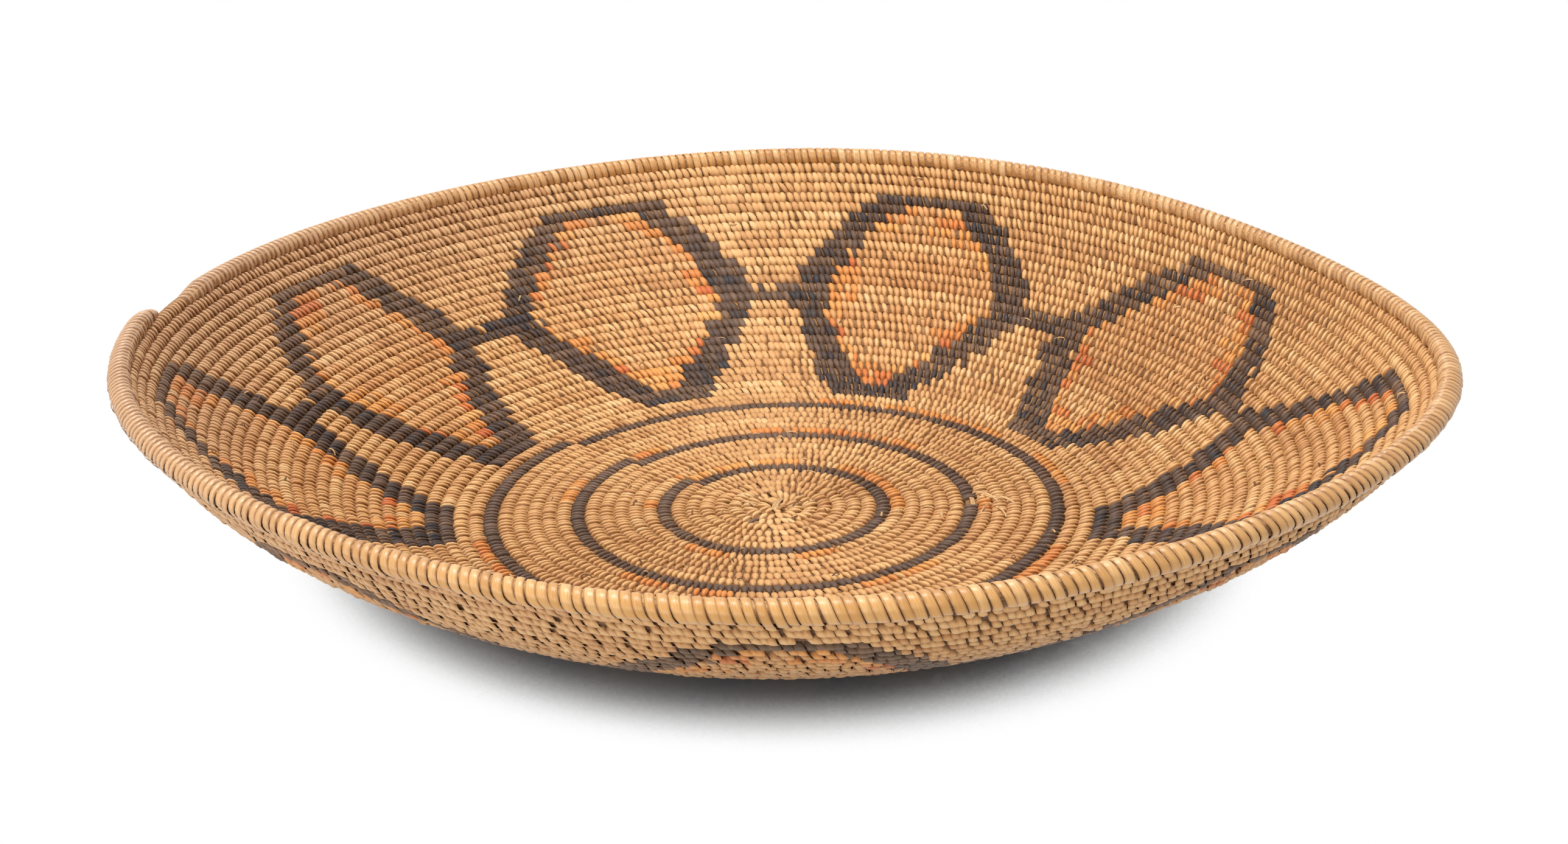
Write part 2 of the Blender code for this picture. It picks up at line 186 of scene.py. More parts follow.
# A bare stretch of coil: its turn, and its azimuth and half its arc in degrees
BARE_SPOT = (14, 3.0, 2.6)
# Stitches that are dark by chance, in the same form
DARK_SPECK = (3, -122.0, 9.0)
# A splint that stands up from the rim, in the same form, and by how much
RIM_BUMP = (RIM_TURN, 86.0, 0.8)
RIM_BUMP_LIFT = 0.0006

# Strands lying loose: turn, azimuth, direction from the coil's, length, width, arch and tone
FIBRES = (
    (1, 70.0, 95.0, 0.0105, 0.0022, 0.0009, 0.9),
    (1, -60.0, 20.0, 0.0050, 0.0016, 0.0006, 0.55),
    (2, 170.0, 60.0, 0.0060, 0.0009, 0.0007, 1.0),
    (2, 10.0, -50.0, 0.0050, 0.0008, 0.0006, 0.2),
    (14, 3.0, 0.0, 0.0070, 0.0016, 0.0004, 0.8),
    (15, 6.0, 40.0, 0.0120, 0.0006, 0.0012, 1.0),
    (16, 3.0, 62.0, 0.0110, 0.0005, 0.0014, 1.0),
    (16, -4.0, 25.0, 0.0090, 0.0006, 0.0010, 1.0),
    (15, -2.0, -35.0, 0.0080, 0.0005, 0.0012, 0.9),
)
# Small ends scattered over the coil, and what their sizes and tones are drawn from
STRAY_COUNT = 150
STRAY_FIRST_TURN = 3
STRAY_DIRECTION_SPREAD = 40
STRAY_LENGTHS = (0.0015, 0.0045)
STRAY_WIDTHS = (0.0003, 0.0007)
STRAY_ARCHES = (0.0, 0.0008)
STRAY_TONE_SHARES = (0.15, 0.9, 1.0)
# A strand's points along it, how far its edges fold down, its thickness and how it sinks in
FIBRE_POINTS = 7
FIBRE_FOLD_SHARE = 0.35
FIBRE_THICKNESS = 0.0004
FIBRE_SINK = 0.0002

# One splint's loop, in degrees round the coil: 0 faces the hollow, 90 faces the rim
LOOP_ANGLES = (-72, -41, -9, 24, 56, 90, 132, 186, 250)
RIM_LOOP_ANGLES = tuple(range(-84, 265, 24))
# The splint's looks go from those of the inside to those of the outside between these
OUTER_ANGLES = (80, 150)
# Its slant runs one way over the inside and the other way over the outside
INNER_SLANT_ANGLES = (-90, 90)
OUTER_SLANT_ANGLES = (90, 270)
# Where its width tapers, and the share that is left at its low end and high on its inside
TAPER_ANGLES = (-72, -20, 5, 50, 100)
BODY_TAPER_SHARES = (0.90, 0.70)
RIM_TAPER_SHARES = (0.9, 1.0)
# How far it reaches into the turn below and towards the next, as shares of a turn
LOWER_REACH_SHARE = 0.78
UPPER_REACH_SHARE = 0.52
# How far it leans along the coil, in metres
FLOOR_SLANT = 0.0010
INNER_SLANT = 0.0024
OUTER_SLANT = 0.0024
RIM_SLANT = 0.0038

# A loop's section is a rounded box: 1 is an ellipse, and nearer 0 is squarer
FLOOR_SQUARENESS = 0.88
WALL_SQUARENESS = 0.92
RIM_SQUARENESS = 0.92
OUTER_SQUARENESS = 0.5
# Across a splint: places as shares of its width, and how far each drops below its middle
COLUMN_SHARES = (-0.5, -0.33, 0.0, 0.33, 0.5)
COLUMN_DROPS = (0.00110, 0.00028, 0.0, 0.00028, 0.00110)
RIM_COLUMN_SHARES = (-0.5, -0.38, 0.0, 0.38, 0.5)
RIM_COLUMN_DROPS = (0.00044, 0.00008, 0.0, 0.00010, 0.00048)

# On the outside: how far a splint's edges drop, its cover with its spread, and the painted
# shade at its edges, in the slits
OUTER_RELIEF = 0.30
OUTER_COVER = 1.0
OUTER_COVER_SPREAD = 0.05
OUTSIDE_EDGE_SHADE = 0.52
RIM_OUTSIDE_EDGE_SHADE = 0.9
# Painted shade at the edges of the rim's splints, in the slits between them: the most it takes
# at the front, and what the left and right add
RIM_EDGE_SHADE = 0.80
RIM_SIDE_EDGE_SHADE = 0.50
# How steeply the painted shade darkens a loop towards its ends, in the valleys between turns
VALLEY_SHADE_POWER = 1.6
# The left side of the wall is worn pale over these turns, from the first
WORN_FIRST_TURNED = 34
WORN_TURNS = 12
# Apart in the fibres' pattern, in millimetres, for two splints that differ by a whole tone
FIBRE_OFFSET = 40

# The rim's wrapping ends before the coil does, and rounds off. It swells where it starts, and
# reaches a little over the turn below
WRAP_END_AZIMUTH = 174.6
WRAP_END = RIM_TURN - (WRAP_END_AZIMUTH - COIL_END_AZIMUTH) / 360
WRAP_TIP_LENGTH = 0.0180
WRAP_TIP_ROUNDING = 0.94
RIM_START_LENGTH = 0.016
RIM_TAIL = 0.0011

# The bundle under the stitches: how much of the coil's half thickness the splints take
COVER_THICKNESS = 0.0010
RIM_COVER_THICKNESS = 0.0005
# Its points along the coil and round itself, the size of its closed ends and its lowest point
FOUNDATION_STEP_SHARE = 0.35
FOUNDATION_STEPS = (0.0015, 0.0065)
FOUNDATION_POINTS = 9
FOUNDATION_END_SHARE = 0.02
FOUNDATION_LOWEST = 0.0002
# Its tone: the least, what chance adds and what the rim adds. Then painted shade, darker round
# its sides and back: how much its sides keep, and how steeply and how far round its inner face
# stays light
FOUNDATION_TONE = 0.15
FOUNDATION_TONE_SPREAD = 0.45
FOUNDATION_RIM_TONE = 0.42
FOUNDATION_SHADED_SIDE_SHARE = 0.25
FOUNDATION_LIT_FACE = (2, 0.6)

# Colours of the splints as the screen shows them, from their lowest tone to their highest
NATURAL_COLOURS = (
    (0.0, (192, 138, 86)),
    (0.25, (211, 158, 102)),
    (0.5, (222, 171, 113)),
    (0.75, (229, 181, 122)),
    (1.0, (238, 198, 143)),
)
DARK_COLOURS = (
    (0.0, (42, 42, 50)),
    (0.22, (62, 50, 47)),
    (0.45, (86, 65, 53)),
    (0.8, (112, 87, 70)),
    (1.0, (142, 112, 86)),
)
ORANGE_COLOURS = (
    (0.0, (196, 96, 56)),
    (0.12, (212, 118, 60)),
    (0.35, (222, 144, 74)),
    (0.7, (229, 162, 88)),
    (1.0, (235, 180, 112)),
)
RIM_COLOURS = (
    (0.0, (184, 128, 72)),
    (0.3, (210, 156, 94)),
    (0.7, (226, 174, 112)),
    (1.0, (240, 200, 146)),
)
GRASS_COLOURS = (
    (0.0, (86, 54, 32)),
    (0.5, (176, 128, 80)),
    (1.0, (222, 178, 124)),
)
STAIN_COLOUR = (200, 122, 56)
# Pale colour of wear on the wall's left, and of a painted sheen of reflection on the rim's sides
WORN_AND_SHEEN_COLOUR = (188, 156, 130)
# A plain brown that the outsides of the loops partly take
OUTSIDE_COLOUR = (182, 140, 92)
# The rim's outside takes this darker gold: painted shade on its lower side
RIM_OUTSIDE_SHADE_COLOUR = (194, 142, 72)
# Colours that multiply a colour: painted shade at the splints' edges and ends, with where it
# starts, and soft patches of tone over the tray
EDGE_PAINTED_SHADE = (0.49, 0.37, 0.255, 1)
PAINTED_SHADE_START = 0.36
PATCH_SHADE = (0.90, 0.87, 0.83, 1)
PATCH_SCALE = 22.0
PATCH_STOPS = (0.34, 0.62)
# Fibres: their scales across, along and between splints, their shades' stops and their height
FIBRE_SCALES = (5.0, 0.30, 31.0)
FIBRE_STOPS = (0.30, 0.56)
FIBRE_HEIGHT = 0.0002
NOISE_DETAIL = 3.0

# Camera, from the middle of the floor's inner face
CAMERA_DISTANCE = 0.9836
CAMERA_ELEVATION = 23.04
CAMERA_PITCH = 21.38
CAMERA_YAW = 0.17
CAMERA_LENS = 65.4
CAMERA_SENSOR = 36.0
CAMERA_CLIP = 0.01

# Light: strength of the world on the object, and each lamp's place, size and power
WORLD_STRENGTH = 0.585
LAMPS = (
    ("key", (-0.18, 0.02, 1.60), 0.4, 23.5),
    ("front", (-0.40, -1.50, 0.60), 0.6, 7.6),
    ("side", (-1.30, -0.50, 0.20), 0.5, 4.0),
)
# The floor: half its width, its colour where the tray shades it, and what it throws back
FLOOR_HALF_WIDTH = 6.0
FLOOR_SEEN = (0.22, 0.232, 0.245, 1)
FLOOR_BOUNCE = 0.72
# The floor is white where nothing stands over it within this distance, and turns from its
# shaded colour to white between these shares of open sky
SHADOW_REACH = 0.045
SHADOW_SHARES = (0.135, 0.275)
SHADOW_SAMPLES = 24


def within(limits, share):
    """The value that lies a share of the way from the first limit to the second."""
    first, last = limits
    return first + (last - first) * share


def wall_share(turns):
    """How far up the wall a turn lies: 0 on the floor and 1 at the rim."""
    return np.clip((turns - FLOOR_TURNS) / WALL_TURNS, 0, 1)


def lean_at(turns):
    """The wall's lean from the floor, in radians."""
    share = wall_share(turns)
    swell = BELLY_LEAN * np.sin(2 * math.pi * share) * (1 - BELLY_FADE_SHARE * share)
    return np.radians(RIM_LEAN * share + swell)


def pitch_at(turns):
    """Width of a turn of the coil."""
    wall_pitch = within((FOOT_PITCH, TOP_PITCH), wall_share(turns))
    return np.where(turns <= FLOOR_TURNS, FLOOR_PITCH, wall_pitch)


def wall_table(steps_a_turn=64, turns_past_rim=2):
    """Radius and height of the coil's middle, at closely spaced turns of the wall."""
    steps = (WALL_TURNS + turns_past_rim) * steps_a_turn
    turns = FLOOR_TURNS + np.arange(steps + 1) / steps_a_turn
    middles = (turns[1:] + turns[:-1]) / 2
    runs = pitch_at(middles) / steps_a_turn
    radius = np.r_[0, np.cumsum(runs * np.cos(lean_at(middles)))]
    height = np.r_[0, np.cumsum(runs * np.sin(lean_at(middles)))]
    return turns, FLOOR_PITCH * (FLOOR_TURNS - 0.5) + radius, FLOOR_HALF_THICKNESS + height


TABLE_TURNS, TABLE_RADIUS, TABLE_HEIGHT = wall_table()


def profile_at(turns):
    """Radius and height of the coil's middle."""
    on_floor = turns <= FLOOR_TURNS
    wall_radius = np.interp(turns, TABLE_TURNS, TABLE_RADIUS)
    wall_height = np.interp(turns, TABLE_TURNS, TABLE_HEIGHT)
    radius = np.where(on_floor, FLOOR_PITCH * (turns - 0.5), wall_radius)
    height = np.where(on_floor, FLOOR_HALF_THICKNESS, wall_height)
    return radius, height


def waves_at(waves, azimuth):
    """Sum of waves round the tray, each of an order, a size and the azimuth of its crest."""
    total = 0.0
    for order, size, crest in waves:
        total = total + size * np.cos(order * (azimuth - math.radians(crest)))
    return total


def rim_wave(waves, turns, azimuth):
    """Waves that grow up the wall."""
    return waves_at(waves, azimuth) * wall_share(turns) ** WAVE_GROWTH_POWER


def floor_wave(turns, azimuth):
    """Waves that grow to the floor's edge and fade up the wall."""
    rising = np.clip((turns - 1) / (FLOOR_TURNS - 1), 0, 1)
    falling = np.clip((FLOOR_WAVE_END_TURN - turns) / (FLOOR_WAVE_END_TURN - FLOOR_TURNS), 0, 1)
    return waves_at(FLOOR_SPREADS, azimuth) * np.where(turns <= FLOOR_TURNS, rising, falling)


def coil_frame(turned):
    """Middle of the coil and its directions along, across and towards the inner face."""
    turns = turned + 0.5
    azimuth = math.radians(COIL_END_AZIMUTH) - 2 * math.pi * turned
    radius, height = profile_at(turns)
    lean = lean_at(turns)
    radius = radius + rim_wave(RIM_SPREADS, turns, azimuth) + floor_wave(turns, azimuth)
    height = height + rim_wave(RIM_LIFTS, turns, azimuth)
    cos_a, sin_a = np.cos(azimuth), np.sin(azimuth)
    zero = np.zeros_like(azimuth)
    middle = np.stack([START_X + radius * cos_a, START_Y + radius * sin_a, height], -1)
    along = np.stack([sin_a, -cos_a, zero], -1)
    across = np.stack([np.cos(lean) * cos_a, np.cos(lean) * sin_a, np.sin(lean)], -1)
    inward = np.stack([-np.sin(lean) * cos_a, -np.sin(lean) * sin_a, np.cos(lean)], -1)
    return middle, along, across, inward


def azimuth_of(turned):
    return COIL_END_AZIMUTH - 360 * (turned % 1)


def between(azimuth, start, end):
    """Whether an azimuth lies on the clockwise arc from start to end."""
    return (start - azimuth) % 360 < (start - end) % 360


def spacing_at(turned):
    """Distance from stitch to stitch along the coil."""
    on_rim = turned >= RIM_TURN - 1
    swing = np.where(on_rim, RIM_SPACING_SWING, SPACING_SWING)
    body_spacing = within((FLOOR_SPACING, WALL_SPACING), np.sqrt(wall_share(turned)))
    middle = np.where(on_rim, RIM_SPACING, body_spacing)
    return middle + swing * np.cos(np.radians(azimuth_of(turned) - WIDEST_AZIMUTH))


def length_table(steps_a_turn=256):
    """Length of the coil from its start, and the count of stitches, at closely spaced turns."""
    turned = np.linspace(FIRST_STITCH_TURNED, RIM_TURN, RIM_TURN * steps_a_turn)
    steps = np.linalg.norm(np.diff(coil_frame(turned)[0], axis=0), axis=1)
    middles = (turned[1:] + turned[:-1]) / 2
    return turned, np.r_[0, np.cumsum(steps)], np.r_[0, np.cumsum(steps / spacing_at(middles))]


TURNED, LENGTH, STITCHES = length_table()


def run_values(count):
    """A random value for each run of stitches sewn with one splint."""
    runs = np.cumsum(seeded.random(count) < 1 / SPLINT_RUN)
    return seeded.random(runs[-1] + 1)[runs]


def petal_sides(petal, turns):
    """Azimuths of a petal's two sides."""
    foot, waist, head, waist_half = petal
    low = np.clip((turns - PETAL_FIRST_TURN + 0.5) / (LINK_TURN - PETAL_FIRST_TURN + 0.5), 0, 1)
    high = np.clip((turns - LINK_TURN) / (PETAL_LAST_TURN + 0.5 - LINK_TURN), 0, 1)
    is_low = turns < LINK_TURN
    share = np.where(is_low, 1 - low, high)
    end = np.where(is_low, foot, head)
    end_half = np.where(is_low, PETAL_FOOT_HALF_WIDTH, PETAL_HEAD_HALF_WIDTH)
    middle = waist + (end - waist) * share
    half = waist_half + (end_half - waist_half) * share + PETAL_SIDE_BULGE * 4 * share * (1 - share)
    return middle + half, middle - half


NATURAL, DARK, ORANGE = 0, 1, 2


def ring_dyes(turn, azimuth, chance, dye, tone):
    """Dye and tone of the stitches in the floor's rings."""
    late = (COIL_END_AZIMUTH - azimuth) % 360 < 360 * RING_START_SHARE
    own = turn - late.astype(int)
    for ring in RINGS:
        dye[own == ring] = DARK
        tone[own == ring] = within(RING_TONE_SHARES, tone[own == ring])
        for start, end in ORANGE_ARCS[ring + 1]:
            arc = (own == ring + 1) & between(azimuth, start, end)
            row = arc & (chance < ORANGE_ARC_CHANCE)
            dye[row] = ORANGE
            tone[row] = within(ORANGE_ARC_TONE_SHARES, tone[row])
    faded_turn, start, end = FADED_ARC
    faded = (turn == faded_turn) & between(azimuth, start, end)
    tone[faded] = within(FADED_TONE_SHARES, chance[faded])


def petal_depths(petal, level, azimuth):
    """How far a stitch lies inside each of a petal's two sides, in metres."""
    degree = profile_at(level)[0] * math.pi / 180
    near, far = petal_sides(petal, level)
    from_near = ((near - azimuth + 180) % 360 - 180) * degree
    from_far = ((azimuth - far + 180) % 360 - 180) * degree
    return from_near, from_far


def lining_width(number, turn, side, row_chance):
    """Width of a petal's orange lining, in stitches."""
    row_drift, petal_drift, side_drift = LINING_DRIFTS
    drift = 0.5 + 0.5 * np.sin(turn * row_drift + number * petal_drift + side * side_drift)
    share = LINING_DRIFT_SHARE * drift + (1 - LINING_DRIFT_SHARE) * row_chance
    low_tip = turn < PETAL_FIRST_TURN + OUTLINE_FOOT_ROWS + LINING_TIP_ROWS
    high_tip = turn > PETAL_LAST_TURN - OUTLINE_HEAD_ROWS - LINING_TIP_ROWS
    at_tip = np.where(low_tip | high_tip, LINING_TIP_STITCHES, 0.0)
    return LINING_LEAST_STITCHES + LINING_STITCHES * share**2 + at_tip


def petal_dyes(turn, turned, azimuth, chance, dye, tone, stain):
    """Dye, tone and stain of the stitches in the petals and in the links between them."""
    ragged = seeded.normal(0, RAGGED_STITCHES, len(turn)) * FLOOR_SPACING
    in_rows = (turn >= PETAL_FIRST_TURN) & (turn <= PETAL_LAST_TURN)
    foot = turn < PETAL_FIRST_TURN + OUTLINE_FOOT_ROWS
    head = turn > PETAL_LAST_TURN - OUTLINE_HEAD_ROWS
    inside_any = np.zeros(len(turn), bool)
    row_chance = seeded.random((len(PETALS), RIM_TURN + 1, 2))
    row_tone = seeded.random((len(PETALS), RIM_TURN + 1, 2))
    row_stain = seeded.random((len(PETALS), RIM_TURN + 1))
    for number, petal in enumerate(PETALS):
        from_near, from_far = petal_depths(petal, turned + 0.5, azimuth)
        depth = np.minimum(from_near, from_far) + ragged
        inside = in_rows & (depth > 0)
        inside_any |= inside
        dark = inside & ((depth < OUTLINE_WIDTH) | foot | head)
        side = (from_near > from_far).astype(int)
        wide = lining_width(number, turn, side, row_chance[number, turn, side])
        lined = depth < OUTLINE_WIDTH + wide * FLOOR_SPACING + ragged
        orange = inside & ~dark & lined & (chance < LINING_CHANCE)
        heart = inside & ~dark & ~orange
        dye[dark] = DARK
        dye[orange] = ORANGE
        mixed = within((row_tone[number, turn, side], tone), LINING_OWN_TONE_SHARE)
        tone[orange] = mixed[orange]
        row_share = row_stain[number, turn] ** 2
        stain[heart] = within(HEART_STAIN_SHARES, row_share)[heart]
    link = np.where(turned % 1 < LINK_STEP_SHARE, LINK_TURN + 1, LINK_TURN)
    second_row = (turn == link + 1) & (chance < LINK_SECOND_ROW_CHANCE)
    dye[in_rows & ~inside_any & ((turn == link) | second_row)] = DARK


def at_spot(spot, turn, azimuth):
    """Whether a stitch lies on a short arc of one turn."""
    spot_turn, spot_azimuth, half_arc = spot
    return (turn == spot_turn) & (np.abs(azimuth - spot_azimuth) < half_arc)


def sided(azimuth, shares):
    """A value that is higher at the tray's left than at its right."""
    middle, swing = shares
    return middle - swing * np.cos(np.radians(azimuth))


def stitch_places():
    """Place and turn of each stitch. One spot is bare, and the wrapping ends before the coil."""
    count = int(STITCHES[-1]) - SPARE_STITCHES
    steps = np.clip(seeded.normal(1, STEP_SPREAD, count), *STEP_LIMITS)
    rim_first = int(np.interp(RIM_TURN - 1, TURNED, STITCHES))
    steps[rim_first:] = 1 + (steps[rim_first:] - 1) * RIM_STEP_SHARE
    turned = np.interp(np.cumsum(steps / steps.mean()), STITCHES, TURNED)
    turn = np.floor(turned).astype(int) + 1
    kept = ~at_spot(BARE_SPOT, turn, azimuth_of(turned)) & (turned < WRAP_END)
    return turned[kept], turn[kept]


class Stitches:
    """Everything that varies from stitch to stitch, as arrays of equal length."""

    def __init__(self):
        self.turned, self.turn = stitch_places()
        self.count = len(self.turned)
        self.azimuth = azimuth_of(self.turned)
        self.is_rim = self.turn == RIM_TURN
        self.sideways = np.abs(np.sin(np.radians(self.azimuth - TIGHT_AZIMUTH)))
        self.spacing = spacing_at(self.turned)
        self.dye_them()
        self.shape_them()
        self.shape_rim()
        self.dye[at_spot(DARK_SPECK, self.turn, self.azimuth)] = DARK
        self.lift[at_spot(RIM_BUMP, self.turn, self.azimuth)] += RIM_BUMP_LIFT

    def dye_them(self):
        """Tone by splint and by stitch, and then the pattern."""
        chance = seeded.random(self.count)
        of_splint = run_values(self.count)
        of_stitch = seeded.random(self.count)
        self.tone = SPLINT_TONE_SHARE * of_splint + (1 - SPLINT_TONE_SHARE) * of_stitch
        self.dye = np.full(self.count, NATURAL)
        self.stain = np.zeros(self.count)
        ring_dyes(self.turn, self.azimuth, chance, self.dye, self.tone)
        places = (self.turn, self.turned, self.azimuth)
        petal_dyes(*places, chance, self.dye, self.tone, self.stain)

    def shape_them(self):
        """Width, drop of the edges, slant and reach, from tight to loose work."""
        loose = np.clip(self.sideways + NEAR_LOOSENESS * (self.azimuth < 0), 0, 1)
        self.width = self.spacing * seeded.normal(within(COVERS, loose), COVER_SPREAD)
        outer_cover = seeded.normal(OUTER_COVER, OUTER_COVER_SPREAD, self.count)
        self.outer_width = self.spacing * outer_cover
        self.relief = within(RELIEFS, loose)
        # How dark the painted shade makes the loop ends
        self.valley = within(VALLEY_SHADES, loose)
        crossing = np.clip(1 - self.turned / CROSSING_TURNS, 0, 1)
        slant_spread = SLANT_SPREAD + CROSSING_SLANT_SPREAD * crossing
        self.slant = seeded.normal(1.0, np.where(self.is_rim, RIM_SLANT_SPREAD, slant_spread))
        self.reach = seeded.normal(1.0, np.where(self.is_rim, RIM_REACH_SPREAD, REACH_SPREAD))
        self.lift = seeded.normal(0.0, LIFT_SPREAD + CROSSING_LIFT_SPREAD * crossing)

    def shape_rim(self):
        """The rim's splints stand apart and open at the tray's left and right."""
        rim = self.is_rim
        open_share = self.sideways**2 * sided(self.azimuth, RIM_OPEN_SHARES)
        cover = seeded.uniform(*RIM_COVERS, self.count)
        cover = cover * (1 - (1 - RIM_SIDE_COVER_SHARE) * open_share)
        self.width[rim] = (self.spacing * cover)[rim]
        self.outer_width[rim] = self.width[rim]
        self.tone[rim] = seeded.uniform(*RIM_TONE_SHARES, rim.sum())
        self.relief[rim] = within(RIM_RELIEFS, open_share)[rim]


def grid_quads(count, rows, cols):
    """Quads of a number of equal grids of points, grid by grid and row by row."""
    places = (np.arange(count), np.arange(rows - 1), np.arange(cols - 1))
    grid, row, col = np.meshgrid(*places, indexing="ij")
    first = (grid * rows + row) * cols + col
    return np.stack([first, first + 1, first + cols + 1, first + cols], -1).reshape(-1, 4)


def build_mesh(name, points, values):
    """A mesh of grids, from points[grid, row, column] and the values that colour them."""
    quads = grid_quads(*points.shape[:3])
    mesh = bpy.data.meshes.new(name)
    mesh.vertices.add(points.size // 3)
    mesh.vertices.foreach_set("co", points.astype(np.float32).ravel())
    mesh.loops.add(quads.size)
    mesh.loops.foreach_set("vertex_index", quads.astype(np.int32).ravel())
    mesh.polygons.add(len(quads))
    mesh.polygons.foreach_set("loop_start", np.arange(0, quads.size, 4, dtype=np.int32))
    mesh.update(calc_edges=True)
    mesh.shade_smooth()
    for label, numbers in values.items():
        attribute = mesh.attributes.new(label, "FLOAT", "POINT")
        numbers = np.broadcast_to(numbers, points.shape[:3])
        attribute.data.foreach_set("value", numbers.astype(np.float32).ravel())
    return mesh


def add_piece(name, points, values, material, nodes):
    """Add a piece that stands for some of the solids."""
    made = bpy.data.objects.new(name, build_mesh(name, points, values))
    bpy.context.scene.collection.objects.link(made)
    made.data.materials.append(material)
    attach(made, "root")
    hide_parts(*nodes)


def placed(directions, run, aside, height):
    """Points at distances along the coil, across it and towards its inner face."""
    middle, along, across, inward = (part[:, None, None, :] for part in directions)
    return middle + along * run[..., None] + across * aside[..., None] + inward * height[..., None]


def loop_section(stitches, chosen, angle, shape):
    """How far a splint's middle line lies across the coil and towards the inner face."""
    sine, cosine = np.sin(angle), np.cos(angle)
    square = shape["squareness"][:, None]
    low = shape["low"] * stitches.reach[chosen]
    reach = np.where(sine > 0, shape["up"][:, None], low[:, None])
    aside = shape["rise"][:, None] + reach * np.sign(sine) * np.abs(sine) ** square
    square = np.where(cosine < 0, shape["outer_squareness"], square)
    half = shape["half"] + stitches.lift[chosen]
    height = half[:, None] * np.sign(cosine) * np.abs(cosine) ** square
    return aside[:, :, None], height[:, :, None]


def loop_run(stitches, chosen, angle, is_outer, shape):
    """Places along the coil of a splint's columns, and the shift that slants the loop."""
    degrees = np.degrees(angle)
    low_share, high_share = shape["tapers"]
    taper = np.interp(degrees, TAPER_ANGLES, (low_share, 1, 1, high_share, 1))
    inner_width = stitches.width[chosen][:, None, None] * taper[None, :, None]
    outer_width = stitches.outer_width[chosen][:, None, None]
    run = within((inner_width, outer_width), is_outer) * np.array(shape["columns"])
    on_inner = np.interp(degrees, INNER_SLANT_ANGLES, (0.5, -0.5))
    on_outer = np.interp(degrees, OUTER_SLANT_ANGLES, (0, -1))
    slant = shape["slant"][:, None] * on_inner + shape["outer_slant"] * on_outer
    return run, (stitches.slant[chosen][:, None] * slant)[:, :, None]


def loops_of(stitches, chosen, shape):
    """Points of the chosen stitches' splints, and the values that colour them."""
    angle = np.radians(np.array(shape["angles"], float))
    is_outer = np.interp(np.degrees(angle), OUTER_ANGLES, (0, 1))[None, :, None]
    relief = within((stitches.relief[chosen][:, None, None], OUTER_RELIEF), is_outer)
    shrink = 1 - relief * np.array(shape["drops"]) / shape["half"][:, None, None]
    aside, height = loop_section(stitches, chosen, angle, shape)
    run, shift = loop_run(stitches, chosen, angle, is_outer, shape)
    directions = coil_frame(stitches.turned[chosen])
    points = placed(directions, run + shift, aside * shrink, height * shrink)
    points[..., 2] = np.maximum(points[..., 2], 0.0)
    tone = stitches.tone[chosen][:, None, None]
    # How strong the painted shade at the splints' edges is, on their inside and outside
    edge = within((shape["edge"][:, None, None], shape["outer_edge_shade"]), is_outer)
    end = np.abs(np.sin(angle))[None, :, None] ** VALLEY_SHADE_POWER
    values = {
        "tone": tone,
        "stain": stitches.stain[chosen][:, None, None],
        "worn_and_sheen": shape["worn_and_sheen"][:, None, None],
        "width_mm": 1000 * run,
        "loop_mm": 1000 * WALL_HALF_THICKNESS * angle[None, :, None] + FIBRE_OFFSET * tone,
        # Painted shade: darkest at a splint's edges and loop ends, where the slits and valleys lie
        "edge": edge * (2 * np.array(shape["columns"])) ** 2
        + shape["valley"][:, None, None] * end,
        "outer": (0.5 - 0.5 * np.cos(angle))[None, :, None],
    }
    return points, values


def make_body_stitches(name, stitches, chosen, material, nodes):
    turned = stitches.turned[chosen]
    pitch = pitch_at(turned + 0.5)
    on_floor = turned < FLOOR_TURNS
    leftward = np.clip(-np.cos(np.radians(azimuth_of(turned))), 0, 1)
    shape = {
        "angles": LOOP_ANGLES,
        "half": np.where(on_floor, FLOOR_HALF_THICKNESS, WALL_HALF_THICKNESS),
        "low": pitch * LOWER_REACH_SHARE,
        "up": pitch * UPPER_REACH_SHARE,
        "rise": np.zeros(len(turned)),
        "squareness": np.where(on_floor, FLOOR_SQUARENESS, WALL_SQUARENESS),
        "outer_squareness": OUTER_SQUARENESS,
        "columns": COLUMN_SHARES,
        "drops": COLUMN_DROPS,
        "tapers": BODY_TAPER_SHARES,
        "slant": np.where(on_floor, FLOOR_SLANT, INNER_SLANT),
        "outer_slant": OUTER_SLANT,
        # Painted shade at the edges, as strong as the drop of the edges, and at the loop ends
        "edge": stitches.relief[chosen],
        "outer_edge_shade": OUTSIDE_EDGE_SHADE,
        "valley": stitches.valley[chosen],
        "worn_and_sheen": leftward * np.clip((turned - WORN_FIRST_TURNED) / WORN_TURNS, 0, 1),
    }
    points, values = loops_of(stitches, chosen, shape)
    add_piece(name, points, values, material, nodes)


def rim_section(turned):
    """Half thickness, height and rise of the rim coil, which swells at its start and rounds off."""
    radius, _ = profile_at(RIM_TURN)
    turn_length = 2 * math.pi * radius
    swell = np.clip((turned - RIM_TURN + 1) * turn_length / RIM_START_LENGTH, 0, 1)
    depth = np.clip(1 - (WRAP_END - turned) * turn_length / WRAP_TIP_LENGTH, 0, 1)
    left = np.sqrt(1 - WRAP_TIP_ROUNDING * depth**2)
    half = within((WALL_HALF_THICKNESS, RIM_HALF_THICKNESS), swell) * left
    height = within((TOP_PITCH, RIM_HEIGHT), swell) * left
    return half, height, height / 2 - pitch_at(turned + 0.5) / 2


